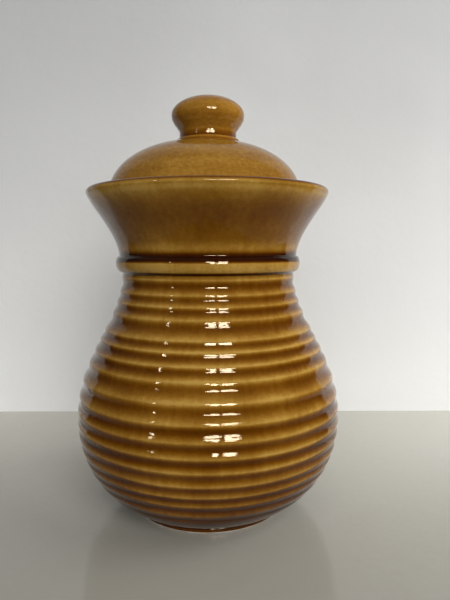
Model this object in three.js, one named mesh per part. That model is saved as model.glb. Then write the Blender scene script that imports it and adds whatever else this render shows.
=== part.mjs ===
// Lidded stoneware storage jar with throwing rings, in millimetres, +Z up.
// Origin: centre of the foot ring's resting face. Three fired pieces:
//   jar_body  the thrown pot: foot ring, ringed belly, collar, flared mouth and the gallery inside it
//   lid       domed lid with a seating flange and a locating skirt
//   lid_knob  the knob, thrown separately and luted onto the flat pad on top of the dome
import * as THREE from 'three';

// ---- Driving dimensions -------------------------------------------------------------------------
const wall = 5;                  // thickness of the pot's wall, square to its surface
const floorThickness = 6;        // clay above the hollow under the pot

const footRadius = 47.2;         // outside of the foot ring
const footWidth = 5.5;           // foot ring, across its resting face
const footHeight = 4;            // lower edge of the glazed belly above the table
const footRecess = 3.2;          // depth of the hollow under the pot
const footBevel = 0.7;           // broken edges of the foot ring

const bellyRadius = 80.4;        // widest part, over the ring crests
const bellyHeight = 57;          // widest part above the table
const lowerCurveCentre = 30;     // radius about which the lower belly's curve swings
const neckRadius = 52.4;         // groove under the collar
const shoulderRise = 88;         // from the widest part up to that groove
const shoulderBias = 1.13;       // above 1 the shoulder stays full for longer

const ringDepthShare = 0.105;    // crest to groove of a throwing ring, as a share of its own rise
const lowestRingHeight = 21;     // lowest crest above the table
const topRingGap = 3;            // highest crest below the groove under the collar
// Steps from crest to crest, upwards. They are the thrower's own, uneven, and share the wall between them.
const ringSteps = [7.5, 6, 6.5, 7.5, 7.5, 8, 8.5, 10, 10, 7, 6.5, 5.5, 10, 6.5, 6, 8];

const collarRise = 9.6;          // from the groove under the collar to the groove over it
const collarStandOut = 2.8;      // collar beyond its two grooves
const collarSag = 1.25;          // above 1 the collar is fullest below its middle
const upperGrooveStep = 1.6;     // the upper groove is this much wider than the lower one
const flareRise = 39.4;          // from the upper groove to the top of the lip
const flareOut = 18.6;           // lip beyond the upper groove
const flarePower = 1.7;          // above 1 the flare starts steep and opens later
const flareUpturn = 1.36;        // above 1 it turns upright again under the lip

const galleryDrop = 10.7;        // ledge that carries the lid, below the top of the lip
const galleryWidth = 6.6;        // that ledge, across

const lidClearance = 2;          // radial play of the flange in the gallery, and of the skirt in the neck
const lidOffCentre = 0.85;       // share of that play by which the lid is set down to one side (-X)
const seatGap = 0.3;             // between pieces that touch
const flangeThickness = 3.5;
const flangeWidth = 2.9;         // flange beyond the foot of the dome
const domeRise = 36;             // dome above its flange
const domePower = 2.25;          // 2 is an ellipse, more is flatter on top
const domeThickness = 5;
const skirtDepth = 8;
const skirtThickness = 4.5;
const skirtMargin = 1;           // the upright face beside the skirt runs on below it by this much

const knobFootRadius = 19.2;
const knobFootHeight = 2.2;      // small step at the bottom of the knob
const knobFootTaper = 0.4;
const knobWaistRadius = 17.1;
const knobWaistHeight = 6;       // above the pad, as the two heights below
const knobRadius = 21.9;
const knobWidestHeight = 16.8;
const knobFullness = 0.58;       // above 0.5 the knob swells early above its waist
const knobHeight = 27.8;
const knobOffCentre = 2;         // the knob was luted on a little to one side (+X) of the dome's middle
const padMargin = 0.4;           // pad around the knob's foot

const potSegments = 40;
const lidSegments = 40;
const knobSegments = 32;

// ---- Worked-out sizes ---------------------------------------------------------------------------
const lipRadius = wall / 2;
const neckHeight = bellyHeight + shoulderRise;
const flareStart = neckHeight + collarRise;
const flareRadius = neckRadius + upperGrooveStep;
const rimHeight = flareStart + flareRise;
const rimRadius = flareRadius + flareOut;
const lipCentre = rimHeight - lipRadius;
const floorTop = footRecess + floorThickness;
const footInnerRadius = footRadius - footWidth;

const galleryHeight = rimHeight - galleryDrop;
const galleryOuterRadius = flareRadiusAt(galleryHeight) - wall;
const galleryInnerRadius = galleryOuterRadius - galleryWidth;

const flangeBottom = galleryHeight + seatGap;
const flangeTop = flangeBottom + flangeThickness;
const flangeRadius = galleryOuterRadius - lidClearance;
const skirtRadius = galleryInnerRadius - lidClearance;
const domeRadius = flangeRadius - flangeWidth;
const hollowRadius = domeRadius - domeThickness;
const padRadius = knobFootRadius + knobOffCentre + padMargin;
const padHeight = flangeTop + domeHeightAt(padRadius, domeRadius, domeRise);

// ---- Curves -------------------------------------------------------------------------------------

/** Radius of the lower belly: part of an ellipse that stands on the table, widest at bellyHeight. */
function lowerBellyRadiusAt(height) {
  const drop = (bellyHeight - height) / bellyHeight;
  return lowerCurveCentre + (bellyRadius - lowerCurveCentre) * Math.sqrt(Math.max(0, 1 - drop * drop));
}

/** Radius of the shoulder: an S-curve from the widest part in to the neck. */
function shoulderRadiusAt(height) {
  const rise = Math.pow((height - bellyHeight) / shoulderRise, shoulderBias);
  return neckRadius + (bellyRadius - neckRadius) * (0.5 + 0.5 * Math.cos(Math.PI * rise));
}

/** Radius of the pot's outside between the foot and the neck, over the ring crests. */
function bellyRadiusAt(height) {
  return height < bellyHeight ? lowerBellyRadiusAt(height) : shoulderRadiusAt(height);
}

/** Radius of the trumpet above the collar. */
function flareRadiusAt(height) {
  const rise = Math.max(0, (height - flareStart) / (lipCentre - flareStart));
  return flareRadius + flareOut * (1 - Math.pow(Math.max(0, 1 - Math.pow(rise, flarePower)), flareUpturn));
}

/** Height of a dome's surface above its base, at a radius. */
function domeHeightAt(radius, baseRadius, rise) {
  return rise * Math.pow(Math.max(0, 1 - Math.pow(radius / baseRadius, domePower)), 1 / domePower);
}

/** Evenly turned points of a dome's outline, from one radius out to its base. */
function domeArc(fromRadius, baseRadius, rise, baseHeight, steps) {
  const start = Math.asin(fromRadius / baseRadius);
  const points = [];
  for (let step = 0; step <= steps; step += 1) {
    const radius = baseRadius * Math.sin(start + (Math.PI / 2 - start) * (step / steps));
    points.push([radius, baseHeight + domeHeightAt(radius, baseRadius, rise)]);
  }
  return points;
}

// ---- Outlines, as [radius, height] points -------------------------------------------------------

/** Foot ring and the hollow inside it, from the middle of the base to the lower edge of the belly. */
function footOutline() {
  const points = [
    [0, footRecess],
    [footInnerRadius - footRecess, footRecess],
    [footInnerRadius, footBevel],
    [footInnerRadius + footBevel, 0],
    [footRadius - footBevel, 0],
    [footRadius, footBevel],
    [footRadius, footHeight - footBevel],
  ];
  const smoothSteps = 3;
  for (let step = 0; step < smoothSteps; step += 1) {
    const height = footHeight + ((lowestRingHeight - footHeight) * step) / smoothSteps;
    points.push([lowerBellyRadiusAt(height), height]);
  }
  return points;
}

/** Outside of the ringed wall, from the lowest crest to the highest one. */
function ringedWall() {
  const pointsPerRing = 4;
  const total = ringSteps.reduce((sum, step) => sum + step, 0);
  const stretch = (neckHeight - topRingGap - lowestRingHeight) / total;
  const points = [];
  let crest = lowestRingHeight;
  for (const ringStep of ringSteps) {
    for (let part = 0; part < pointsPerRing; part += 1) {
      const share = part / pointsPerRing;
      const height = crest + ringStep * stretch * share;
      const dip = 0.5 - 0.5 * Math.cos(2 * Math.PI * share);
      points.push([bellyRadiusAt(height) - ringStep * stretch * ringDepthShare * dip, height]);
    }
    crest += ringStep * stretch;
  }
  points.push([bellyRadiusAt(crest), crest]);
  return points;
}

/** Outside of the collar: a rounded bead between its two grooves. */
function collarBead() {
  const steps = 5;
  const points = [];
  for (let step = 0; step <= steps; step += 1) {
    const turn = Math.PI * (step / steps);
    const share = 0.5 - 0.5 * Math.cos(turn);
    const grooveRadius = neckRadius + upperGrooveStep * share;
    const height = neckHeight + collarRise * Math.pow(share, collarSag);
    points.push([grooveRadius + collarStandOut * Math.sin(turn), height]);
  }
  return points;
}

/** Outside of the flare and the rounded lip, to the lip's inner edge. */
function flareAndLip() {
  const points = [];
  const flareSteps = 7;
  for (let step = 1; step < flareSteps; step += 1) {
    const height = flareStart + ((lipCentre - flareStart) * step) / flareSteps;
    points.push([flareRadiusAt(height), height]);
  }
  const lipSteps = 5;
  for (let step = 0; step <= lipSteps; step += 1) {
    const turn = Math.PI * (step / lipSteps);
    points.push([rimRadius - lipRadius + lipRadius * Math.cos(turn), lipCentre + lipRadius * Math.sin(turn)]);
  }
  return points;
}

/** Inside of the pot: gallery, upright face beside the lid's skirt, neck, belly and floor. */
function potInside() {
  const uprightEnd = galleryHeight - skirtDepth - skirtMargin;
  const points = [
    [galleryOuterRadius, galleryHeight],
    [galleryInnerRadius, galleryHeight],
    [galleryInnerRadius, uprightEnd],
  ];
  const neckSteps = 3;
  for (let step = 1; step <= neckSteps; step += 1) {
    const height = uprightEnd + ((flareStart - uprightEnd) * step) / neckSteps;
    points.push([Math.min(galleryInnerRadius, flareRadiusAt(height) - wall), height]);
  }
  points.push([neckRadius - wall, neckHeight]);
  const bellySteps = 11;
  for (let step = 1; step < bellySteps; step += 1) {
    const height = neckHeight + ((floorTop - neckHeight) * step) / bellySteps;
    const slope = (bellyRadiusAt(height + 1) - bellyRadiusAt(height - 1)) / 2;
    points.push([bellyRadiusAt(height) - wall * Math.hypot(1, slope), height]);
  }
  points.push([footInnerRadius, floorTop], [0, floorTop]);
  return points;
}

/** Section of the lid: pad, dome, flange, skirt, and the hollow under the dome. */
function lidOutline() {
  const skirtBottom = flangeBottom - skirtDepth;
  return [
    [0, padHeight],
    ...domeArc(padRadius, domeRadius, domeRise, flangeTop, 11),
    [flangeRadius, flangeTop - flangeThickness / 3],
    [flangeRadius, flangeBottom],
    [skirtRadius, flangeBottom],
    [skirtRadius, skirtBottom],
    [skirtRadius - skirtThickness, skirtBottom],
    [skirtRadius - skirtThickness, flangeBottom],
    ...domeArc(0, hollowRadius, domeRise - domeThickness, flangeTop, 9).reverse(),
  ];
}

/** Section of the knob, standing on height 0. */
function knobOutline() {
  const stem = new THREE.SplineCurve([
    new THREE.Vector2(knobWaistRadius, knobFootHeight + knobFootTaper),
    new THREE.Vector2(knobWaistRadius, knobWaistHeight),
    new THREE.Vector2(
      knobWaistRadius + (knobRadius - knobWaistRadius) * knobFullness,
      (knobWaistHeight + knobWidestHeight) / 2,
    ),
    new THREE.Vector2(knobRadius, knobWidestHeight),
  ]);
  const points = [[0, 0], [knobFootRadius, 0], [knobFootRadius - knobFootTaper, knobFootHeight]];
  for (const { x, y } of stem.getPoints(8)) points.push([x, y]);
  const capSteps = 8;
  for (let step = 1; step < capSteps; step += 1) {
    const turn = (Math.PI / 2) * (step / capSteps);
    const height = knobWidestHeight + (knobHeight - knobWidestHeight) * Math.sin(turn);
    points.push([knobRadius * Math.cos(turn), height]);
  }
  points.push([0, knobHeight]);
  return points;
}

// ---- Pieces -------------------------------------------------------------------------------------

/** Turns an outline about the Z axis. It runs anticlockwise round the clay, with the axis on its left. */
function revolve(outline, segments) {
  const geometry = new THREE.LatheGeometry(outline.map(([r, h]) => new THREE.Vector2(r, h)), segments);
  geometry.rotateX(Math.PI / 2);
  return geometry;
}

/** One fired piece with its own glaze. */
function firedPiece(name, geometry, color) {
  const glaze = new THREE.MeshStandardMaterial({ color, roughness: 0.12, metalness: 0 });
  const mesh = new THREE.Mesh(geometry, glaze);
  mesh.name = name;
  return mesh;
}

const potOutline = [...footOutline(), ...ringedWall(), ...collarBead(), ...flareAndLip(), ...potInside()];
const jarBody = firedPiece('jar_body', revolve(potOutline, potSegments), 0x8c6428);
const lid = firedPiece('lid', revolve(lidOutline().reverse(), lidSegments), 0x966e32);
const lidKnob = firedPiece('lid_knob', revolve(knobOutline(), knobSegments), 0x93692d);
lidKnob.position.set(knobOffCentre, 0, padHeight + seatGap);

const liftedTogether = new THREE.Group();
liftedTogether.position.x = -lidOffCentre * lidClearance;
liftedTogether.add(lid, lidKnob);

const jar = new THREE.Group();
jar.add(jarBody, liftedTogether);

export default jar;
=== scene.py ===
"""Ringed stoneware storage jar in amber glaze, with a domed lid and its knob, on a worktop by a wall."""

import logging
import math
from dataclasses import dataclass, field, replace
from enum import Enum
from functools import cache
from typing import Callable, Sequence

import bpy
import numpy as np
from mathutils import Matrix, Vector


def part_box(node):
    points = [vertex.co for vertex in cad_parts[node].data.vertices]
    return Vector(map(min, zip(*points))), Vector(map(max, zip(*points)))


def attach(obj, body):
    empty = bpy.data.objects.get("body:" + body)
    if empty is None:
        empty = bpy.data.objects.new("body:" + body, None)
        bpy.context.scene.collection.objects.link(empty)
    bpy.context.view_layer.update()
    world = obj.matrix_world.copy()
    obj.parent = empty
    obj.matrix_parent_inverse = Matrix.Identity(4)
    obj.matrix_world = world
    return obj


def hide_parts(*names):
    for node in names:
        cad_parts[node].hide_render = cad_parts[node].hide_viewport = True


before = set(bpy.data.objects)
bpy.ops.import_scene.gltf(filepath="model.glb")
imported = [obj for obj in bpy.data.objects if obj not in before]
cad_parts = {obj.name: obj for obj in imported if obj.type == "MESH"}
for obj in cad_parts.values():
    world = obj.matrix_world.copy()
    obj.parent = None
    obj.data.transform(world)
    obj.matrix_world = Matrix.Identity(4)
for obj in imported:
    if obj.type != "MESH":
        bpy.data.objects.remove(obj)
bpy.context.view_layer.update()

logger = logging.getLogger("storage_jar")

MM = 0.001
ON_AXIS = 1e-7  # a smaller radius than this is a single point on the axis
POOL_AND_SHADE_ATTRIBUTE = "glaze_pool_and_shade"
Rgb = tuple[float, float, float]
Socket = bpy.types.NodeSocket
Node = bpy.types.Node
Tree = bpy.types.NodeTree


class Clay(Enum):
    """Which of a turned piece's two finishes a stretch of its outline takes."""

    GLAZED = 0
    BARE = 1


class Body(Enum):
    """The two things that the fired jar comes apart into."""

    POT = "pot"
    LID = "lid_assembly"


# ---- Shader building ----------------------------------------------------------------------------


class NodeTree:
    """A thin helper that adds nodes to a tree and joins them."""

    def __init__(self, tree: Tree) -> None:
        """Wraps a tree.

        Args:
            tree: the node tree to add to.
        """
        self.tree = tree

    def add(self, kind: str, **settings: object) -> Node:
        """Adds a node.

        Args:
            kind: the node's type name without its ShaderNode prefix.
            settings: attributes to set on the node.

        Returns:
            The new node.
        """
        prefix = "" if kind.startswith("NodeGroup") else "ShaderNode"
        node = self.tree.nodes.new(prefix + kind)
        for name, value in settings.items():
            setattr(node, name, value)
        return node

    def join(self, source: Socket, target: Socket) -> None:
        """Joins an output socket to an input socket."""
        self.tree.links.new(source, target)

    def math(self, operation: str, *terms: object, clamp: bool = False) -> Socket:
        """Adds a Math node.

        Args:
            operation: the Math node's operation.
            terms: numbers or output sockets, one for each input.
            clamp: whether the result is held to 0..1.

        Returns:
            The node's output socket.
        """
        node = self.add("Math", operation=operation, use_clamp=clamp)
        for socket, term in zip(node.inputs, terms):
            if isinstance(term, (int, float)):
                socket.default_value = term
            else:
                self.join(term, socket)
        return node.outputs[0]

    def noise(self, where: Socket, scale: float, detail: float = 3.0,
              roughness: float = 0.55) -> Socket:
        """Adds a noise texture.

        Args:
            where: the coordinates' socket.
            scale: cells per metre.
            detail: octaves.
            roughness: weight of the finer octaves.

        Returns:
            The noise factor's socket.
        """
        node = self.add("TexNoise")
        node.inputs["Scale"].default_value = scale
        node.inputs["Detail"].default_value = detail
        node.inputs["Roughness"].default_value = roughness
        self.join(where, node.inputs["Vector"])
        return node.outputs["Fac"]

    def span(self, value: Socket, low: float, high: float, to_low: float = 0.0,
             to_high: float = 1.0) -> Socket:
        """Maps a value from one range to another, smoothly and clamped.

        Args:
            value: the value's socket.
            low: value that gives to_low.
            high: value that gives to_high.
            to_low: lowest result.
            to_high: highest result.

        Returns:
            The result's socket.
        """
        node = self.add("MapRange", interpolation_type="SMOOTHSTEP")
        for name, number in (("From Min", low), ("From Max", high), ("To Min", to_low), ("To Max", to_high)):
            node.inputs[name].default_value = number
        self.join(value, node.inputs["Value"])
        return node.outputs["Result"]

    def here(self) -> Socket:
        """Returns the socket of the shaded point's place on its own object, in metres."""
        return self.add("TexCoord").outputs["Object"]

    def blend(self, first: Rgb, second: Rgb, share: Socket) -> Socket:
        """Mixes two colours.

        Args:
            first: the colour at a share of 0.
            second: the colour at a share of 1.
            share: the share's socket.

        Returns:
            The mixed colour's socket.
        """
        node = self.add("Mix", data_type="RGBA")
        node.inputs[6].default_value = (*first, 1)
        node.inputs[7].default_value = (*second, 1)
        self.join(share, node.inputs[0])
        return node.outputs[2]

    def relief(self, height: Socket, metres: float) -> Socket:
        """Adds fine relief.

        Args:
            height: the relief's height, 0 to 1.
            metres: what a height of 1 stands for.

        Returns:
            The normal's socket.
        """
        node = self.add("Bump")
        node.inputs["Distance"].default_value = metres
        self.join(height, node.inputs["Height"])
        return node.outputs["Normal"]

    def stretched(self, where: Socket, scale: Sequence[float]) -> Socket:
        """Scales coordinates.

        Args:
            where: the coordinates' socket.
            scale: factor of each axis.

        Returns:
            The scaled coordinates' socket.
        """
        node = self.add("Mapping")
        node.inputs["Scale"].default_value = scale
        self.join(where, node.inputs["Vector"])
        return node.outputs["Vector"]


@dataclass(frozen=True)
class ShaderGroup:
    """Decorator for a function that fills a node group. It then returns the group, built once.

    Attributes:
        name: the group's name.
        inputs: name, kind (Float, Color or Vector) and default of each input.
        outputs: name and kind of each output.
    """

    name: str
    inputs: Sequence[tuple[str, str, object]]
    outputs: Sequence[tuple[str, str]]

    def __call__(self, fill: Callable[[NodeTree, Node, Node], None]) -> Callable[[], Tree]:
        """Wraps the function.

        Args:
            fill: fills the group, given its tree and its input and output nodes.

        Returns:
            A function that gives the group's tree.
        """

        @cache
        def group() -> Tree:
            """Builds the group on its first call.

            Returns:
                The group's tree.
            """
            tree = bpy.data.node_groups.new(self.name, "ShaderNodeTree")
            new_socket = tree.interface.new_socket
            for label, kind, default in self.inputs:
                socket = new_socket(name=label, in_out="INPUT", socket_type=f"NodeSocket{kind}")
                socket.default_value = default
            for label, kind in self.outputs:
                new_socket(name=label, in_out="OUTPUT", socket_type=f"NodeSocket{kind}")
            nodes = NodeTree(tree)
            fill(nodes, nodes.add("NodeGroupInput"), nodes.add("NodeGroupOutput"))
            return tree

        return group


@ShaderGroup(
    "uneven glaze",
    [("Pool", "Float", 0.3), ("Clouds", "Float", 0.2), ("Mottling", "Float", 0.2), ("Runs", "Float", 0.1)],
    [("Depth", "Float")],
)
def glaze_cloud_group(nodes: NodeTree, entry: Node, result: Node) -> None:
    """Uneven depth of a dipped glaze: broad clouds, fine mottling and runs that hang down the wall.

    Args:
        nodes: the group's nodes.
        entry: the node of its inputs.
        result: the node of its outputs.
    """
    where = nodes.here()
    flattened = nodes.stretched(where, (1, 1, 1.6))
    hanging = nodes.stretched(where, (1, 1, 0.09))
    depth = entry.outputs["Pool"]
    for label, source in (
        ("Clouds", nodes.noise(where, 26.0, 2.0)),
        ("Mottling", nodes.noise(flattened, 420.0, 4.0, 0.62)),
        ("Runs", nodes.noise(hanging, 330.0, 2.0)),
    ):
        centred = nodes.math("SUBTRACT", source, 0.5)
        depth = nodes.math("MULTIPLY_ADD", centred, entry.outputs[label], depth)
    nodes.join(nodes.math("MAXIMUM", depth, 0.0), result.inputs["Depth"])


@ShaderGroup(
    "stained glaze",
    [("Depth", "Float", 0.3), ("Thin Colour", "Color", (0.5, 0.3, 0.1, 1)), ("Stain", "Vector", (1, 1.4, 2))],
    [("Color", "Color")],
)
def glaze_colour_group(nodes: NodeTree, entry: Node, result: Node) -> None:
    """Colour of a clear stained glaze over pale clay, deeper where it is thicker, as in coloured glass.

    Args:
        nodes: the group's nodes.
        entry: the node of its inputs.
        result: the node of its outputs.
    """
    thin = nodes.add("SeparateColor")
    stain = nodes.add("SeparateXYZ")
    mixed = nodes.add("CombineColor")
    nodes.join(entry.outputs["Thin Colour"], thin.inputs[0])
    nodes.join(entry.outputs["Stain"], stain.inputs[0])
    for channel in range(3):
        taken = nodes.math("MULTIPLY", stain.outputs[channel], entry.outputs["Depth"])
        left = nodes.math("EXPONENT", nodes.math("MULTIPLY", taken, -1.0))
        nodes.join(nodes.math("MULTIPLY", left, thin.outputs[channel]), mixed.inputs[channel])
    nodes.join(mixed.outputs[0], result.inputs["Color"])


@ShaderGroup("crazing", [("Scale", "Float", 240.0)], [("Lines", "Float")])
def crazing_group(nodes: NodeTree, entry: Node, result: Node) -> None:
    """Hairline crazing in a glaze, 0 to 1, broken up so that it shows in patches.

    Args:
        nodes: the group's nodes.
        entry: the node of its inputs.
        result: the node of its outputs.
    """
    where = nodes.here()
    cells = nodes.add("TexVoronoi", feature="DISTANCE_TO_EDGE")
    nodes.join(where, cells.inputs["Vector"])
    nodes.join(entry.outputs["Scale"], cells.inputs["Scale"])
    line = nodes.span(cells.outputs["Distance"], 0.0, 0.035, 1.0, 0.0)
    patch = nodes.span(nodes.noise(where, 55.0, 2.0), 0.45, 0.65)
    nodes.join(nodes.math("MULTIPLY", line, patch), result.inputs["Lines"])


@ShaderGroup("iron specks", [("Scale", "Float", 160.0), ("Share", "Float", 0.05)],
             [("Specks", "Float")])
def speck_group(nodes: NodeTree, entry: Node, result: Node) -> None:
    """Sparse dark iron specks and pinholes, 0 to 1.

    Args:
        nodes: the group's nodes.
        entry: the node of its inputs.
        result: the node of its outputs.
    """
    where = nodes.here()
    cells = nodes.add("TexVoronoi", feature="F1")
    nodes.join(where, cells.inputs["Vector"])
    nodes.join(entry.outputs["Scale"], cells.inputs["Scale"])
    dot = nodes.span(cells.outputs["Distance"], 0.06, 0.12, 1.0, 0.0)
    tone = nodes.add("SeparateColor")
    nodes.join(cells.outputs["Color"], tone.inputs[0])
    chosen = nodes.math("LESS_THAN", tone.outputs[0], entry.outputs["Share"])
    nodes.join(nodes.math("MULTIPLY", dot, chosen), result.inputs["Specks"])


@ShaderGroup("glaze skin", [("Undulation", "Float", 0.8), ("Peel", "Float", 0.1)],
             [("Height", "Float")])
def ripple_group(nodes: NodeTree, entry: Node, result: Node) -> None:
    """Height of a glaze's skin, 0 to 1: a long soft undulation and a fine orange peel.

    Args:
        nodes: the group's nodes.
        entry: the node of its inputs.
        result: the node of its outputs.
    """
    where = nodes.here()
    long = nodes.math("MULTIPLY", nodes.noise(where, 60.0, 2.0), entry.outputs["Undulation"])
    fine = nodes.math("MULTIPLY", nodes.noise(where, 700.0, 2.0), entry.outputs["Peel"])
    nodes.join(nodes.math("ADD", long, fine), result.inputs["Height"])


class Finish:
    """A finish that can be made into a material."""

    def material(self, name: str) -> bpy.types.Material:
        """Makes the finish's material.

        Args:
            name: the material's name.

        Returns:
            The material.
        """
        made = bpy.data.materials.new(name)
        made.use_nodes = True
        made.node_tree.nodes.clear()
        nodes = NodeTree(made.node_tree)
        self.shade(nodes, nodes.add("OutputMaterial").inputs["Surface"])
        return made

    def shade(self, nodes: NodeTree, surface: Socket) -> None:
        """Builds the finish's shader.

        Args:
            nodes: the material's nodes.
            surface: the socket that takes the shader.
        """
        raise NotImplementedError

    @staticmethod
    def group(nodes: NodeTree, tree: Tree, **values: object) -> Node:
        """Places a shader group with its own values.

        Args:
            nodes: the material's nodes.
            tree: the group.
            values: numbers, colours or sockets by input name, with _ for a space.

        Returns:
            The group's node.
        """
        node = nodes.add("Group", node_tree=tree)
        for name, value in values.items():
            socket = node.inputs[name.replace("_", " ")]
            if isinstance(value, Socket):
                nodes.join(value, socket)
            else:
                socket.default_value = value
        return node


@dataclass(frozen=True)
class AmberGlaze(Finish):
    """Glossy translucent amber glaze that runs thin over edges and pools dark in grooves.

    Attributes:
        thin_colour: colour over the clay where the glaze is thinnest.
        stain: how fast red, green and blue are lost with depth.
        sheen_tint: colour of the mirror reflection where it is met square on.
        clouds, mottling, runs: how much each kind of unevenness adds to the depth.
        crazing_scale, crazing_depth: fineness of the crazing, and the depth that a line adds.
        speck_scale, speck_share: fineness of the iron specks, and the share of cells that hold one.
        gloss, dull_spots: roughness of the skin, and what worn spots add to it.
        undulation, peel: share of long waves and of fine orange peel in the skin's height.
        skin_height: height of the skin's relief, in metres.
        refraction: index of refraction.
        skin_depth, slant_depth: depth under thin_colour, and how much longer a slanting look through it is.
    """

    thin_colour: Rgb = (0.47, 0.277, 0.059)
    stain: Rgb = (1.1, 1.6, 2.9)
    sheen_tint: Rgb = (1.0, 0.84, 0.58)
    clouds: float = 1.0
    mottling: float = 0.45
    runs: float = 0.4
    crazing_scale: float = 230.0
    crazing_depth: float = 0.1
    speck_scale: float = 120.0
    speck_share: float = 0.02
    gloss: float = 0.02
    dull_spots: float = 0.03
    undulation: float = 0.6
    peel: float = 0.05
    skin_height: float = 0.0005
    refraction: float = 1.38
    skin_depth: float = 0.35
    slant_depth: float = 0.55

    def shade(self, nodes: NodeTree, surface: Socket) -> None:
        """Builds the glaze: depth, longer where met at a slant, colour by depth, then gloss and skin.

        Args:
            nodes: the material's nodes.
            surface: the socket that takes the shader.
        """
        # The attribute holds the glaze's depth, with painted shade added by the foot, on the lowest crests
        # and round the upper flare.
        pool = nodes.add("Attribute", attribute_name=POOL_AND_SHADE_ATTRIBUTE).outputs["Fac"]
        cloud = self.group(nodes, glaze_cloud_group(), Pool=pool, Clouds=self.clouds,
                           Mottling=self.mottling, Runs=self.runs)
        lines = self.group(nodes, crazing_group(), Scale=self.crazing_scale).outputs["Lines"]
        specks = self.group(nodes, speck_group(), Scale=self.speck_scale,
                            Share=self.speck_share).outputs["Specks"]
        depth = nodes.math("MULTIPLY_ADD", lines, self.crazing_depth, cloud.outputs["Depth"])
        speck_depth, speck_roughness, speck_pit = 1.2, 0.2, -0.06
        depth = nodes.math("MULTIPLY_ADD", specks, speck_depth, depth)
        slant = nodes.math("POWER", nodes.add("LayerWeight").outputs["Facing"], 2.0)
        longer = nodes.math("MULTIPLY", slant, self.slant_depth)
        depth = nodes.math("MULTIPLY_ADD", nodes.math("ADD", depth, self.skin_depth), longer, depth)
        colour = self.group(nodes, glaze_colour_group(), Depth=depth,
                            Thin_Colour=(*self.thin_colour, 1), Stain=self.stain).outputs["Color"]
        where = nodes.here()
        dullest = self.gloss + self.dull_spots
        wear = nodes.span(nodes.noise(where, 130.0, 3.0), 0.35, 0.75, self.gloss, dullest)
        rough = nodes.math("MULTIPLY_ADD", specks, speck_roughness, wear)
        height = self.group(nodes, ripple_group(), Undulation=self.undulation, Peel=self.peel)
        skin = nodes.math("MULTIPLY_ADD", specks, speck_pit, height.outputs["Height"])
        shader = nodes.add("BsdfPrincipled")
        shader.inputs["IOR"].default_value = self.refraction
        shader.inputs["Specular Tint"].default_value = (*self.sheen_tint, 1)
        nodes.join(colour, shader.inputs["Base Color"])
        nodes.join(rough, shader.inputs["Roughness"])
        nodes.join(nodes.relief(skin, self.skin_height), shader.inputs["Normal"])
        nodes.join(shader.outputs[0], surface)


@dataclass(frozen=True)
class BareClay(Finish):
    """Unglazed fired stoneware, matt, toasted in patches and slightly gritty. Its height is in metres."""

    pale: Rgb = (0.50, 0.46, 0.39)
    toasted: Rgb = (0.36, 0.28, 0.19)
    speck_scale: float = 900.0
    speck_share: float = 0.08
    grit_height: float = 0.0002

    def shade(self, nodes: NodeTree, surface: Socket) -> None:
        """Builds the clay: toasting, iron specks and grit.

        Args:
            nodes: the material's nodes.
            surface: the socket that takes the shader.
        """
        where = nodes.here()
        toast = nodes.span(nodes.noise(where, 70.0, 4.0), 0.4, 0.75)
        specks = self.group(nodes, speck_group(), Scale=self.speck_scale,
                            Share=self.speck_share).outputs["Specks"]
        tone = nodes.blend(self.pale, self.toasted, nodes.math("MAXIMUM", toast, specks))
        grit = nodes.noise(where, 1500.0, 4.0, 0.7)
        shader = nodes.add("BsdfPrincipled")
        nodes.join(tone, shader.inputs["Base Color"])
        nodes.join(nodes.span(grit, 0.3, 0.7, 0.7, 0.9), shader.inputs["Roughness"])
        nodes.join(nodes.relief(grit, self.grit_height), shader.inputs["Normal"])
        nodes.join(shader.outputs[0], surface)


@dataclass(frozen=True)
class StageSurface(Finish):
    """A wall or worktop that shows from its front only, so that a look from behind or below isn't shut off.

    Its colour is clouded with a second one, and darkened by painted shade along one axis: multiplied by the
    shade tone at the span's first end, and by nothing at its second end.
    """

    colour: Rgb
    cloud_colour: Rgb
    roughness: float
    mirror: float = 0.5
    cloud_scale: float = 2.5
    speck_depth: float = 0.0
    bump_height: float = 0.0
    painted_shade_axis: str = "Z"
    painted_shade_from: float = 0.0
    painted_shade_to: float = 1.0
    painted_shade_tone: float = 1.0

    def shade(self, nodes: NodeTree, surface: Socket) -> None:
        """Builds the surface, clear when met from behind.

        Args:
            nodes: the material's nodes.
            surface: the socket that takes the shader.
        """
        where = nodes.here()
        cloud = nodes.span(nodes.noise(where, self.cloud_scale, 2.0), 0.3, 0.7)
        fleck = nodes.span(nodes.noise(where, 260.0, 4.0, 0.65), 0.3, 0.75, 0.0, self.speck_depth)
        tone = nodes.blend(self.colour, self.cloud_colour, nodes.math("ADD", cloud, fleck, clamp=True))
        shader = nodes.add("BsdfPrincipled")
        axes = nodes.add("SeparateXYZ")
        nodes.join(where, axes.inputs[0])
        # Painted shade: the colour is darkened towards one end of a span.
        painted_shade = nodes.add("VectorMath", operation="SCALE")
        nodes.join(tone, painted_shade.inputs[0])
        nodes.join(nodes.span(axes.outputs[self.painted_shade_axis], self.painted_shade_from, self.painted_shade_to,
                              self.painted_shade_tone, 1.0), painted_shade.inputs["Scale"])
        shader.inputs["Specular IOR Level"].default_value = self.mirror
        nodes.join(painted_shade.outputs[0], shader.inputs["Base Color"])
        rough = nodes.span(cloud, 0.0, 1.0, self.roughness, self.roughness * 1.15)
        nodes.join(rough, shader.inputs["Roughness"])
        nodes.join(nodes.relief(nodes.noise(where, 40.0, 3.0), self.bump_height), shader.inputs["Normal"])
        clear = nodes.add("BsdfTransparent")
        side = nodes.add("MixShader")
        nodes.join(nodes.add("NewGeometry").outputs["Backfacing"], side.inputs[0])
        nodes.join(shader.outputs[0], side.inputs[1])
        nodes.join(clear.outputs[0], side.inputs[2])
        nodes.join(side.outputs[0], surface)


# ---- Turned pieces ------------------------------------------------------------------------------


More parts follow.
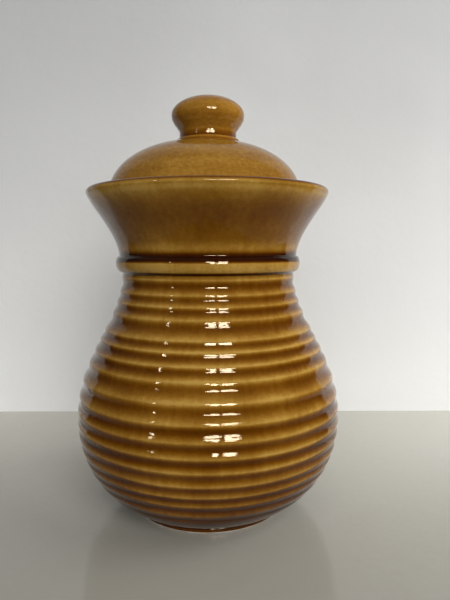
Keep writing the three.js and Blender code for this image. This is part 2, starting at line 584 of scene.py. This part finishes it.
@dataclass
class Point:
    """One point of a turned piece's outline.

    Attributes:
        radius: distance from the axis.
        height: height above the piece's base.
        pool: depth of glaze there, from 0 where it is thinnest to 2 or more where it is pooled dark; by the
            foot, on the lowest crests and round the upper flare it also holds painted shade.
        clay: finish of the stretch that starts here.
        sway: how much the hand's unevenness shows here, 0 to 1.
    """

    radius: float
    height: float
    pool: float = 0.3
    clay: Clay = Clay.GLAZED
    sway: float = 0.0


def rounded(points: Sequence[Point], radius: float, steps: int = 4) -> list[Point]:
    """Rounds the inner corners of a stretch of outline.

    Args:
        points: the stretch; its two ends stay as they are.
        radius: radius of the rounding, cut down where the sides are short.
        steps: facets of each corner.

    Returns:
        The rounded stretch.
    """
    made = [points[0]]
    for before, corner, after in zip(points, points[1:], points[2:]):
        here = Vector((corner.radius, corner.height))
        back = Vector((before.radius, before.height)) - here
        on = Vector((after.radius, after.height)) - here
        cut = min(radius, 0.45 * back.length, 0.45 * on.length)
        start, end = here + back.normalized() * cut, here + on.normalized() * cut
        for step in range(steps + 1):
            t = step / steps
            spot = start * (1 - t) ** 2 + here * 2 * t * (1 - t) + end * t**2
            made.append(Point(spot.x, spot.y, corner.pool, corner.clay, corner.sway))
    made.append(points[-1])
    return made


@dataclass
class Hand:
    """The slight unevenness that a hand leaves in a turned piece.

    Attributes:
        depth: how far the wall strays in and out.
        lift: how far the rings stray up and down.
        seed: picks the waves.
    """

    depth: float
    lift: float
    seed: int

    def waves(self, turn: np.ndarray, salt: int) -> np.ndarray:
        """Draws a soft closed wave round the piece.

        Args:
            turn: angles round the axis.
            salt: picks the wave.

        Returns:
            The wave, about -1 to 1, at those angles.
        """
        draw = np.random.default_rng(self.seed * 97 + salt)
        total = np.zeros_like(turn)
        for order in (2, 3, 5, 8):
            total += np.sin(order * turn + draw.uniform(0, 2 * math.pi)) * draw.uniform(0.4, 1.0) / order
        return total


class TurnedPiece:
    """A piece turned on the wheel from an outline.

    Attributes:
        segments: facets round the axis.
        drift_per_metre: how fast the hand's waves change with height, in radians.
    """

    segments: int = 168
    drift_per_metre: float = 310.0

    def turned(self, name: str, node: str, outline: Sequence[Point],
               hand: Hand) -> bpy.types.Object:
        """Turns an outline about a vertical axis into a closed mesh, with its glaze thickness and painted
        shade as an attribute.

        Args:
            name: the piece's name.
            node: the frame's node whose axis it stands on.
            outline: from the axis at one end, all round the section, to the axis at the other.
            hand: unevenness of the turning.

        Returns:
            The new object.
        """
        low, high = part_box(node)
        centre = Vector(((low.x + high.x) / 2, (low.y + high.y) / 2, low.z))
        turn = np.arange(self.segments) * 2 * math.pi / self.segments
        dent, rise = hand.waves(turn, 1), hand.waves(turn, 2)
        vertices: list[tuple[float, float, float]] = []
        pools: list[float] = []
        rows: list[list[int]] = []
        for point in outline:
            start = len(vertices)
            if point.radius < ON_AXIS:
                vertices.append((centre.x, centre.y, centre.z + point.height))
                rows.append([start] * self.segments)
                pools.append(point.pool)
                continue
            drift = 0.5 + 0.5 * math.sin(point.height * self.drift_per_metre)
            radii = point.radius + hand.depth * point.sway * (dent * drift + rise * (1 - drift))
            heights = centre.z + point.height + hand.lift * point.sway * rise
            vertices.extend(zip(centre.x + radii * np.cos(turn), centre.y + radii * np.sin(turn), heights))
            rows.append(list(range(start, start + self.segments)))
            pools.extend([point.pool] * self.segments)
        faces: list[tuple[int, ...]] = []
        clays: list[int] = []
        for index, (lower, upper) in enumerate(zip(rows, rows[1:])):
            for here in range(self.segments):
                after = (here + 1) % self.segments
                corners = (lower[here], lower[after], upper[after], upper[here])
                faces.append(tuple(dict.fromkeys(corners)))
                clays.append(outline[index].clay.value)
        mesh = bpy.data.meshes.new(name)
        mesh.from_pydata(vertices, [], faces)
        mesh.polygons.foreach_set("material_index", clays)
        mesh.polygons.foreach_set("use_smooth", [True] * len(faces))
        mesh.attributes.new(POOL_AND_SHADE_ATTRIBUTE, "FLOAT", "POINT").data.foreach_set("value", pools)
        mesh.update()
        mesh.validate()
        piece = bpy.data.objects.new(name, mesh)
        bpy.context.scene.collection.objects.link(piece)
        return piece


def smooth_step(value: float, low: float, high: float) -> float:
    """Rises smoothly from 0 at low to 1 at high."""
    share = min(1.0, max(0.0, (value - low) / (high - low)))
    return share * share * (3 - 2 * share)


def bell(value: float, middle: float, width: float) -> float:
    """A soft bump of height 1 round a middle value."""
    return math.exp(-(((value - middle) / width) ** 2))


@dataclass
class Pot(TurnedPiece):
    """The thrown pot: foot ring, ringed belly, collar, flared mouth and the gallery inside it.

    Sizes in metres, but ring_steps are the uneven steps from crest to crest, upwards, which share the
    wall between them. groove_pools and the crest list after it are the glaze's depths in those grooves
    and on those crests, in the same order; the larger depths on the lowest crests are painted shade,
    where the wall faces down.
    """

    segments: int = 192
    wall: float = 5 * MM
    floor_thickness: float = 6 * MM
    foot_radius: float = 47.2 * MM
    foot_width: float = 5.5 * MM
    foot_height: float = 4 * MM
    foot_recess: float = 3.2 * MM
    belly_radius: float = 80.4 * MM
    belly_height: float = 57 * MM
    lower_curve_centre: float = 30 * MM
    neck_radius: float = 52.4 * MM
    shoulder_rise: float = 88 * MM
    shoulder_bias: float = 1.13
    ring_depth_share: float = 0.105
    lowest_ring_height: float = 21 * MM
    top_ring_gap: float = 3 * MM
    ring_steps: tuple[float, ...] = (7.5, 6, 6.5, 7.5, 7.5, 8, 8.5, 10, 10, 7, 6.5, 5.5, 10, 6.5, 6, 8)
    groove_pools: tuple[float, ...] = (
        1.6, 1.5, 1.3, 1.25, 1.5, 1.3, 1.35, 1.1, 1.05, 1.3, 1.35, 1.2, 1.2, 1.2, 1.05, 1.2)
    # The lowest crests' larger depths are painted shade, where the wall faces down to the worktop.
    crest_pools_and_shade: tuple[float, ...] = (
        0.6, 0.42, 0.25, 0.15, 0.1, 0.1, 0.12, 0.1, 0.1, 0.05, 0.02, 0.02, 0.1, 0.08, 0.03, 0.08, 0.1)
    collar_rise: float = 9.6 * MM
    collar_stand_out: float = 2.8 * MM
    collar_sag: float = 1.25
    upper_groove_step: float = 1.6 * MM
    flare_rise: float = 39.4 * MM
    flare_out: float = 18.6 * MM
    flare_power: float = 1.7
    flare_upturn: float = 1.36
    gallery_drop: float = 10.7 * MM
    gallery_width: float = 6.6 * MM
    upright_drop: float = 9 * MM
    fineness: float = 0.8 * MM
    hand: Hand = field(default_factory=lambda: Hand(0.14 * MM, 0.25 * MM, 3))

    def __post_init__(self) -> None:
        """Works out the heights and radii that follow from the others."""
        self.lip_radius = self.wall / 2
        self.neck_height = self.belly_height + self.shoulder_rise
        self.flare_start = self.neck_height + self.collar_rise
        self.flare_radius = self.neck_radius + self.upper_groove_step
        self.rim_height = self.flare_start + self.flare_rise
        self.rim_radius = self.flare_radius + self.flare_out
        self.lip_centre = self.rim_height - self.lip_radius
        self.floor_top = self.foot_recess + self.floor_thickness
        self.foot_inner_radius = self.foot_radius - self.foot_width
        self.gallery_height = self.rim_height - self.gallery_drop
        self.gallery_outer_radius = self.flare_radius_at(self.gallery_height) - self.wall
        self.gallery_inner_radius = self.gallery_outer_radius - self.gallery_width

    def belly_radius_at(self, height: float) -> float:
        """Works out the radius of the outside between the foot and the neck, over the ring crests.

        Args:
            height: height above the table.

        Returns:
            The radius.
        """
        if height < self.belly_height:
            drop = (self.belly_height - height) / self.belly_height
            swing = self.belly_radius - self.lower_curve_centre
            return self.lower_curve_centre + swing * math.sqrt(max(0.0, 1 - drop * drop))
        rise = ((height - self.belly_height) / self.shoulder_rise) ** self.shoulder_bias
        share = 0.5 + 0.5 * math.cos(math.pi * rise)
        return self.neck_radius + (self.belly_radius - self.neck_radius) * share

    def flare_radius_at(self, height: float) -> float:
        """Works out the radius of the trumpet above the collar.

        Args:
            height: height above the table.

        Returns:
            The radius.
        """
        rise = max(0.0, (height - self.flare_start) / (self.lip_centre - self.flare_start))
        share = 1 - max(0.0, 1 - rise**self.flare_power) ** self.flare_upturn
        return self.flare_radius + self.flare_out * share

    def foot(self) -> list[Point]:
        """The recess under the pot and its bare foot ring, up to the glaze's lower edge.

        Returns:
            Outline from the axis outwards.
        """
        inner, outer, top = self.foot_inner_radius, self.foot_radius, self.foot_height
        centre = [Point(share * inner, self.foot_recess, 0.45) for share in (0, 0.225, 0.45, 0.675)]
        ring = rounded([
            Point(inner - self.foot_recess - 0.4 * MM, self.foot_recess, 0.7),
            Point(inner - 0.6 * MM, self.foot_recess, 0.9),
            Point(inner, 1.2 * MM, 0.4, Clay.BARE),
            Point(inner + 0.4 * MM, 0, 0, Clay.BARE),
            Point(outer - 0.4 * MM, 0, 0, Clay.BARE),
            # The glaze's lower edge on the foot, kept dark: partly thick glaze, partly painted shade next to
            # the worktop.
            Point(outer, 1.5 * MM, 1.6),
            Point(outer, top - 1.2 * MM, 2.2),
        ], 0.6 * MM)
        return centre + ring

    def lower_belly(self) -> list[Point]:
        """The smooth band between the foot and the lowest ring, with the glaze's thick rolled edge, darkened
        towards the foot by painted shade.

        Returns:
            Outline upwards.
        """
        edge = self.belly_radius_at(self.foot_height)
        # The glaze's rolled lower edge, kept dark: partly thick glaze, partly painted shade next to the
        # worktop.
        points = [
            Point(self.foot_radius + 0.5 * MM, self.foot_height - 0.9 * MM, 2.2),
            Point(edge - 1.4 * MM, self.foot_height - 0.75 * MM, 2.2),
            Point(edge - 0.5 * MM, self.foot_height - 0.2 * MM, 2.0),
        ]
        lowest = self.lowest_ring_height
        steps = 22
        for step in range(steps):
            height = self.foot_height + (lowest - self.foot_height) * step / steps
            groove = bell(height, lowest - 2.8 * MM, 1.9 * MM)
            # Painted shade: the glaze is made darker towards the foot, where the wall faces down.
            pool = 2.2 + 0.5 * groove
            for fall, start, end in ((0.5, 4, 10), (0.5, 9, 17), (0.6, 18, 21)):
                pool -= fall * smooth_step(height, start * MM, end * MM)
            radius = self.belly_radius_at(height) - 0.6 * MM * groove
            points.append(Point(radius, height, pool, sway=0.6))
        return points

    def ringed_wall(self) -> list[Point]:
        """The throwing rings, from the lowest crest to the highest one.

        Returns:
            Outline upwards.
        """
        stretch = (self.neck_height - self.top_ring_gap - self.lowest_ring_height) / sum(self.ring_steps)
        points = []
        crest = self.lowest_ring_height
        for index, ring_step in enumerate(self.ring_steps):
            rise = ring_step * stretch
            count = max(6, round(rise / self.fineness))
            for part in range(count):
                share = part / count
                height = crest + rise * share
                dip = rise * self.ring_depth_share * math.sin(math.pi * share**1.1) ** 2
                crest_pool_and_shade = self.crest_pools_and_shade[index] * (1 - share) + self.crest_pools_and_shade[index + 1] * share
                pooled = math.sin(math.pi * share**1.3) ** 1.1
                pool = crest_pool_and_shade + (self.groove_pools[index] - crest_pool_and_shade) * pooled
                points.append(Point(self.belly_radius_at(height) - dip, height, pool, sway=1.0))
            crest += rise
        points.append(Point(self.belly_radius_at(crest), crest, self.crest_pools_and_shade[-1], sway=1.0))
        return points

    def collar(self) -> list[Point]:
        """The rounded bead between its two dark grooves.

        Returns:
            Outline upwards.
        """
        points = []
        under = self.neck_height - 0.9 * MM
        points.append(Point(self.belly_radius_at(under) - 0.2 * MM, under, 0.7, sway=0.5))
        steps = 18
        for step in range(steps + 1):
            turn = math.pi * step / steps
            share = 0.5 - 0.5 * math.cos(turn)
            bulge = math.sin(turn)
            pool = 0.1 + 2.4 * (1 - smooth_step(share, 0.03, 0.16)) + 2.6 * smooth_step(share, 0.66, 0.84)
            points.append(Point(
                self.neck_radius + self.upper_groove_step * share + self.collar_stand_out * bulge,
                self.neck_height + self.collar_rise * share**self.collar_sag, pool, sway=0.5))
        return points

    def flare_and_lip(self) -> list[Point]:
        """The trumpet and its rounded lip.

        Returns:
            Outline upwards and over the lip.
        """
        points = []
        steps = 44
        for step in range(1, steps):
            height = self.flare_start + (self.lip_centre - self.flare_start) * step / steps
            above = height - self.flare_start
            pool = 0.72 + 1.8 * bell(above, 0, 1.8 * MM) - 0.45 * bell(above, 4.5 * MM, 3.0 * MM)
            # Painted shade and reflection: a darker band round the upper flare, where it faces down and
            # mirrors the dim room.
            pool += 0.22 * bell(height, self.rim_height - 18 * MM, 7 * MM)
            pool -= 0.55 * bell(height, self.rim_height - 4.6 * MM, 2.2 * MM)
            pool -= 0.3 * bell(height, self.rim_height - 8 * MM, 3.8 * MM)
            points.append(Point(self.flare_radius_at(height), height, pool, sway=0.5))
        lip_steps = 14
        for step in range(lip_steps + 1):
            turn = math.pi * step / lip_steps
            pool = 0.12 + 1.1 * bell(math.degrees(turn), 48, 22)
            points.append(Point(
                self.rim_radius - self.lip_radius + self.lip_radius * math.cos(turn),
                self.lip_centre + self.lip_radius * math.sin(turn), pool, sway=0.5))
        return points

    def inside(self) -> list[Point]:
        """The mouth, the bare gallery that carries the lid, the neck, the belly and the floor.

        Returns:
            Outline downwards, to the axis.
        """
        top, ledge = self.lip_centre, self.gallery_height
        inner, outer = self.gallery_inner_radius, self.gallery_outer_radius
        upright_end = ledge - self.upright_drop
        mouth = [
            Point(outer + (self.rim_radius - 2 * self.lip_radius - outer) * (1 - t) ** 1.15,
                         top + (ledge - top) * t, 0.3 + 0.5 * smooth_step(t, 0.6, 1.0))
            for t in (0.15, 0.35, 0.55, 0.75)
        ]
        gallery = rounded([
            Point(outer + 0.25 * MM, ledge + 1.2 * MM, 0.9),
            Point(outer, ledge, 0.9, Clay.BARE),
            Point(inner, ledge, 0.1, Clay.BARE),
            Point(inner, ledge - 1.6 * MM, 0.2),
            Point(inner, upright_end, 0.35),
        ], 0.8 * MM)
        neck = []
        for step in range(1, 7):
            height = upright_end + (self.flare_start - upright_end) * step / 6
            radius = min(inner, self.flare_radius_at(height) - self.wall)
            neck.append(Point(radius, height, 0.4))
        neck.append(Point(self.neck_radius - self.wall, self.neck_height, 0.45))
        belly = []
        steps = 44
        for step in range(1, steps):
            height = self.neck_height + (self.floor_top - self.neck_height) * step / steps
            slope = (self.belly_radius_at(height + MM) - self.belly_radius_at(height - MM)) / (2 * MM)
            radius = self.belly_radius_at(height) - self.wall * math.hypot(1, slope)
            ridge = 0.25 * MM * math.sin(height / (4.1 * MM))
            pool = 0.4 + 0.12 * math.sin(height / (4.1 * MM)) + 0.4 * smooth_step(-height, -22 * MM, -10 * MM)
            belly.append(Point(max(radius, self.foot_inner_radius) + ridge, height, pool, sway=0.4))
        floor = [
            Point(self.foot_inner_radius * share, self.floor_top + 0.15 * MM * math.sin(25 * share),
                         0.75 + 0.15 * math.sin(25 * share))
            for share in (0.97, 0.9, 0.82, 0.74, 0.66, 0.58, 0.5, 0.42, 0.34, 0.26, 0.18, 0.1)
        ]
        return mouth + gallery + neck + belly + floor + [Point(0, self.floor_top, 0.8)]

    def build(self) -> bpy.types.Object:
        """Turns the pot on the frame's axis.

        Returns:
            The pot.
        """
        outline = (self.foot() + self.lower_belly() + self.ringed_wall() + self.collar()
                   + self.flare_and_lip() + self.inside())
        return self.turned("glazed_pot", "jar_body", outline, self.hand)

    def dress(self, pot: bpy.types.Object) -> None:
        """Gives the pot its glaze and bare clay, and places it in the frame.

        Args:
            pot: the built pot.
        """
        pot.data.materials.append(AmberGlaze().material("amber glaze, pot"))
        pot.data.materials.append(BareClay().material("bare clay, pot"))
        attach(pot, Body.POT.value)
        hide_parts("jar_body")


@dataclass
class Lid(TurnedPiece):
    """The domed lid, with the flange that sits in the gallery and the skirt that keeps it there."""

    segments: int = 168
    flange_thickness: float = 3.5 * MM
    flange_width: float = 2.9 * MM
    dome_rise: float = 36 * MM
    dome_power: float = 2.25
    dome_thickness: float = 5 * MM
    skirt_depth: float = 8 * MM
    skirt_thickness: float = 4.5 * MM
    skirt_inset: float = 6.6 * MM
    pad_radius: float = 21.6 * MM
    hand: Hand = field(default_factory=lambda: Hand(0.1 * MM, 0.08 * MM, 8))

    def dome_height(self, radius: float, base: float, rise: float) -> float:
        """Height at a radius of a dome of a base radius and rise."""
        return rise * max(0.0, 1 - (radius / base) ** self.dome_power) ** (1 / self.dome_power)

    def outline(self, flange_radius: float) -> list[Point]:
        """Section of the lid, from the middle of its hollow round to the middle of the pad.

        Args:
            flange_radius: radius of the flange.

        Returns:
            The section, with heights above the skirt's lower edge.
        """
        flange = self.skirt_depth
        top = flange + self.flange_thickness
        dome = flange_radius - self.flange_width
        hollow = dome - self.dome_thickness
        skirt = flange_radius - self.skirt_inset
        hollow_rise = self.dome_rise - self.dome_thickness
        points = []
        steps = 26
        for step in range(steps):
            radius = hollow * math.sin(math.pi / 2 * step / steps)
            points.append(Point(radius, top + self.dome_height(radius, hollow, hollow_rise), 0.45))
        points += rounded([
            Point(hollow, top - 0.4 * MM, 0.5),
            Point(hollow, flange + 0.6 * MM, 0.8),
            Point(skirt - self.skirt_thickness, flange + 0.2 * MM, 0.4),
            Point(skirt - self.skirt_thickness, 0, 0.1, Clay.BARE),
            Point(skirt, 0, 0.1, Clay.BARE),
            Point(skirt, flange, 0.1, Clay.BARE),
            Point(flange_radius, flange, 0.1, Clay.BARE),
            Point(flange_radius, top - self.flange_thickness / 3, 0.5),
            Point(dome + 0.5 * MM, top, 0.95),
            Point(dome, top + 1.5 * MM, 0.5, sway=0.2),
        ], 0.9 * MM)
        start = math.asin(self.pad_radius / dome)
        steps = 44
        for step in range(3, steps + 1):
            turn = math.pi / 2 + (start - math.pi / 2) * step / steps
            radius = dome * math.sin(turn)
            height = top + self.dome_height(radius, dome, self.dome_rise)
            pool = 0.26 + 0.25 * bell(step, 3, 4) + 0.05 * math.sin(step * 0.7) + 0.3 * bell(step, steps, 3)
            points.append(Point(radius, height, pool, sway=1.0))
        pad = top + self.dome_height(self.pad_radius, dome, self.dome_rise)
        points.append(Point(self.pad_radius * 0.6, pad, 0.6))
        points.append(Point(0, pad, 0.6))
        return points

    def build(self) -> bpy.types.Object:
        """Turns the lid where it is set down.

        Returns:
            The lid.
        """
        low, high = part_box("lid")
        return self.turned("domed_lid", "lid", self.outline((high.y - low.y) / 2), self.hand)

    def dress(self, lid: bpy.types.Object) -> None:
        """Gives the lid its glaze and bare seat, and places it in the frame.

        Args:
            lid: the built lid.
        """
        glaze = AmberGlaze(thin_colour=(0.41, 0.228, 0.043), slant_depth=0.2, clouds=0.5, mottling=0.8,
                           runs=0.1, crazing_scale=480.0, crazing_depth=0.4)
        lid.data.materials.append(glaze.material("amber glaze, lid"))
        lid.data.materials.append(BareClay().material("bare clay, lid"))
        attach(lid, Body.LID.value)
        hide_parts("lid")


@dataclass
class Knob(TurnedPiece):
    """The mushroom knob, stuck on with slip, on its stepped foot."""

    segments: int = 128
    foot_height: float = 2.2 * MM
    foot_taper: float = 0.4 * MM
    foot_radius: float = 19.2 * MM
    waist_radius: float = 17.1 * MM
    waist_height: float = 6 * MM
    widest_height: float = 16.8 * MM
    fullness: float = 1.3
    ridge_depth: float = 0.05 * MM
    ridge_spacing: float = 0.42 * MM
    sink: float = 0.4 * MM
    hand: Hand = field(default_factory=lambda: Hand(0.12 * MM, 0.1 * MM, 5))

    def outline(self, radius: float, height: float) -> list[Point]:
        """Section of the knob, standing on height 0 and sunk a little into the slip under it.

        Args:
            radius: widest radius.
            height: height of the top.

        Returns:
            The section.
        """
        foot = rounded([
            Point(self.foot_radius + 0.5 * MM, -self.sink, 0.9),
            Point(self.foot_radius + 0.1 * MM, 0.3 * MM, 0.8, sway=0.5),
            Point(self.foot_radius - self.foot_taper, self.foot_height, 0.25, sway=0.5),
            Point(self.waist_radius + 0.1 * MM, self.foot_height + 0.5 * MM, 1.1, sway=0.5),
            Point(self.waist_radius, self.waist_height, 0.5, sway=0.5),
        ], 0.6 * MM)
        points = [Point(0, -self.sink, 0.5)] + foot
        steps = 40
        for step in range(1, steps + 1):
            t = step / steps
            share = smooth_step(1 - (1 - t) ** self.fullness, 0.0, 1.0)
            level = self.waist_height + (self.widest_height - self.waist_height) * t
            spread = self.waist_radius + (radius - self.waist_radius) * share
            spread += self.ridge_depth * math.sin(level / self.ridge_spacing) * math.sin(math.pi * t)
            points.append(Point(spread, level, 0.36 - 0.15 * t + 0.15 * bell(t, 0.75, 0.2), sway=1.0))
        steps = 26
        for step in range(1, steps):
            turn = math.pi / 2 * step / steps
            level = self.widest_height + (height - self.widest_height) * math.sin(turn)
            pool = 0.2 + 0.1 * bell(turn, 0.5, 0.3) + 0.06 * math.sin(step * 0.9)
            points.append(Point(radius * math.cos(turn), level, pool, sway=math.cos(turn)))
        points.append(Point(0, height, 0.25))
        return points

    def build(self) -> bpy.types.Object:
        """Turns the knob on the lid's pad.

        Returns:
            The knob.
        """
        low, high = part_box("lid_knob")
        outline = self.outline((high.x - low.x) / 2, high.z - low.z)
        return self.turned("lid_knob_turned", "lid_knob", outline, self.hand)

    def dress(self, knob: bpy.types.Object) -> None:
        """Gives the knob its glaze, and places it in the frame.

        Args:
            knob: the built knob.
        """
        glaze = AmberGlaze(thin_colour=(0.45, 0.243, 0.043), slant_depth=0.4, clouds=0.7, mottling=0.6,
                           runs=0.1, undulation=0.8, crazing_depth=0.14)
        knob.data.materials.append(glaze.material("amber glaze, knob"))
        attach(knob, Body.LID.value)
        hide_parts("lid_knob")


# ---- Studio -------------------------------------------------------------------------------------


class Reach(Enum):
    """What a lamp's light falls on: it lights matt colour, or is mirrored in the glaze."""

    MATT = "matt"
    GLINT = "glint"


@dataclass(frozen=True)
class Lamp:
    """A rectangular soft lamp that faces a target, placed by direction and distance from it.

    Azimuth 0 is in front of the jar and 90 to its right. Angles in degrees, lengths in metres, power in
    watts.
    """

    name: str
    azimuth: float
    elevation: float
    distance: float
    width: float
    height: float
    power: float
    reach: Reach = Reach.MATT
    target: Vector = field(default_factory=lambda: Vector((0, 0, 0.11)))

    def place(self) -> None:
        """Makes the lamp."""
        lamp = bpy.data.lights.new(self.name, "AREA")
        lamp.shape = "RECTANGLE"
        lamp.size, lamp.size_y = self.width, self.height
        lamp.energy = self.power
        stand = bpy.data.objects.new(self.name, lamp)
        around, up = math.radians(self.azimuth), math.radians(self.elevation)
        away = Vector((math.sin(around) * math.cos(up), -math.cos(around) * math.cos(up), math.sin(up)))
        stand.location = self.target + away * self.distance
        stand.rotation_euler = (-away).to_track_quat("-Z", "Y").to_euler()
        stand.visible_glossy = self.reach is Reach.GLINT
        stand.visible_diffuse = self.reach is Reach.MATT
        stand.visible_camera = False
        bpy.context.scene.collection.objects.link(stand)


@dataclass
class Studio:
    """Worktop, wall, soft lamps, room and camera. Lengths in metres, angles in degrees.

    Attributes:
        wall_depth, wall_turn, wall_height: distance behind the jar's axis, angle round it, and height.
        top_front, top_back: front and back edges of the worktop.
        near_reach: half the width of the worktop and wall that the glaze mirrors.
        far_reach: how far the stretches go that only the camera sees.
        window_distance, pane_power: the window's distance, and its panes' watts per square metre.
        seen_room: brightness of the bare room where the camera sees it.
        eye, look_down, look_right, roll, lens: the camera, with its lens in millimetres.
    """

    wall_depth: float = 0.182
    wall_turn: float = -1.82
    wall_height: float = 2.4
    top_front: float = -0.16
    top_back: float = 0.3
    near_reach: float = 0.45
    far_reach: float = 1.4
    window_distance: float = 2.2
    pane_power: float = 150.0
    seen_room: float = 0.62
    eye: Vector = field(default_factory=lambda: Vector((0.0, -0.335, 0.159)))
    look_down: float = 5.48
    look_right: float = 1.77
    roll: float = -0.14
    lens: float = 32.4

    def sheet(self, name: str, corners: Sequence[Vector], finish: Finish) -> bpy.types.Object:
        """Makes one flat four-cornered stage surface.

        Args:
            name: its name.
            corners: its corners, anticlockwise seen from its front.
            finish: its finish.

        Returns:
            The surface.
        """
        mesh = bpy.data.meshes.new(name)
        mesh.from_pydata([tuple(corner) for corner in corners], [], [(0, 1, 2, 3)])
        made = bpy.data.objects.new(name, mesh)
        mesh.materials.append(finish.material(name))
        bpy.context.scene.collection.objects.link(made)
        return made

    def build_stage(self) -> None:
        """Makes the worktop and the wall, and their far stretches that only the camera sees."""
        # Painted shade: the worktop's stone darkens towards its front edge.
        stone = StageSurface(colour=(0.55, 0.54, 0.475), cloud_colour=(0.52, 0.50, 0.43), roughness=0.09,
                             speck_depth=0.35, bump_height=0.0004, painted_shade_axis="Y", painted_shade_from=-0.14,
                             painted_shade_to=0.16, painted_shade_tone=0.70)
        # Painted shade: the wall's paint darkens towards the top.
        paint = StageSurface(colour=(0.86, 0.86, 0.845), cloud_colour=(0.84, 0.84, 0.825), roughness=0.55,
                             cloud_scale=6.0, bump_height=0.0005, painted_shade_from=0.42, painted_shade_to=0.0,
                             painted_shade_tone=0.63)
        lean = math.tan(math.radians(self.wall_turn))

        def on_top(left: float, front: float, right: float, back: float) -> list[Vector]:
            """Corners of a stretch of worktop."""
            return [Vector((x, y, 0)) for x, y in
                    ((left, front), (right, front), (right, back), (left, back))]

        def on_wall(left: float, right: float) -> list[Vector]:
            """Corners of a stretch of wall, from the worktop up."""
            return [Vector((x, self.wall_depth + lean * x, z)) for x, z in
                    ((left, 0), (right, 0), (right, self.wall_height), (left, self.wall_height))]

        near, far, front, back = self.near_reach, self.far_reach, self.top_front, self.top_back
        self.sheet("worktop", on_top(-near, front, near, back), stone)
        self.sheet("wall", on_wall(-near, near), paint)
        dull_stone = replace(stone, roughness=0.6, mirror=0.0)
        dull_paint = replace(paint, mirror=0.0)
        for name, corners, finish in (
            ("worktop_front", on_top(-far, -far, far, front), dull_stone),
            ("worktop_left", on_top(-far, front, -near, back), dull_stone),
            ("worktop_right", on_top(near, front, far, back), dull_stone),
            ("wall_left", on_wall(-far, -near), dull_paint),
            ("wall_right", on_wall(near, far), dull_paint),
        ):
            beyond = self.sheet(name, corners, finish)
            beyond.visible_glossy = beyond.visible_diffuse = beyond.visible_shadow = False

    def build_lamps(self) -> None:
        """Places the window, as its soft light and the four panes that glint in the glaze, and the fills."""
        for lamp in (
            Lamp("window_soft", 18.0, 28.0, self.window_distance, 1.2, 0.95, 23.0),
            Lamp("window_low", 18.0, 8.0, self.window_distance, 1.2, 0.95, 6.0),
            Lamp("right_fill", 75.0, 35.0, 1.8, 1.0, 1.0, 9.8),
            Lamp("left_fill", -25.0, 22.0, 2.2, 1.0, 1.0, 8.0),
            Lamp("side_glow", 105.0, 8.0, 0.6, 0.3, 0.3, 1.6),
        ):
            lamp.place()
        for name, azimuth, elevation, width, height in (
            ("pane_left_lower", 4.4, 8.5, 0.22, 0.26),
            ("pane_left_upper", 2.3, 17.5, 0.42, 0.28),
            ("pane_right_lower", 16.2, 8.5, 0.40, 0.26),
            ("pane_right_upper", 17.8, 17.5, 0.50, 0.28),
            ("slit_of_daylight", -46.0, 12.0, 0.045, 0.5),
        ):
            power = self.pane_power * width * height
            Lamp(name, azimuth, elevation, self.window_distance, width, height, power, Reach.GLINT).place()

    def build_room(self) -> None:
        """Makes the room's soft light: brightest overhead, dim below, and pale where it is seen."""
        world = bpy.data.worlds.new("room")
        world.use_nodes = True
        world.node_tree.nodes.clear()
        nodes = NodeTree(world.node_tree)
        axes = nodes.add("SeparateXYZ")
        nodes.join(nodes.add("TexCoord").outputs["Generated"], axes.inputs[0])
        glow = nodes.span(axes.outputs["Z"], 0.0, 0.9, 0.03, 0.2)
        seen = nodes.add("Mix", data_type="FLOAT")
        nodes.join(nodes.add("LightPath").outputs["Is Camera Ray"], seen.inputs[0])
        nodes.join(glow, seen.inputs[2])
        seen.inputs[3].default_value = self.seen_room
        back = nodes.add("Background")
        back.inputs["Color"].default_value = (0.98, 0.99, 1.0, 1)
        nodes.join(seen.outputs[0], back.inputs["Strength"])
        nodes.join(back.outputs[0], nodes.add("OutputWorld").inputs["Surface"])
        bpy.context.scene.world = world

    def build_camera(self) -> None:
        """Places the camera."""
        data = bpy.data.cameras.new("camera")
        data.sensor_width = 36.0
        data.lens = self.lens
        data.clip_start, data.clip_end = 0.01, 20.0
        camera = bpy.data.objects.new("camera", data)
        bpy.context.scene.collection.objects.link(camera)
        camera.matrix_world = (
            Matrix.Translation(self.eye)
            @ Matrix.Rotation(math.radians(-self.look_right), 4, "Z")
            @ Matrix.Rotation(math.radians(90 - self.look_down), 4, "X")
            @ Matrix.Rotation(math.radians(self.roll), 4, "Z")
        )
        bpy.context.scene.camera = camera

    def build(self) -> None:
        """Makes the whole studio."""
        self.build_camera()
        self.build_stage()
        self.build_lamps()
        self.build_room()
        bpy.context.scene.view_settings.view_transform = "Standard"


def main() -> None:
    """Builds the studio and the three fired pieces."""
    logging.basicConfig(level=logging.INFO, format="%(message)s")
    Studio().build()
    for maker in (Pot(), Lid(), Knob()):
        piece = maker.build()
        maker.dress(piece)
        logger.info("%s: %d faces", piece.name, len(piece.data.polygons))


if __name__ == "__main__":
    main()
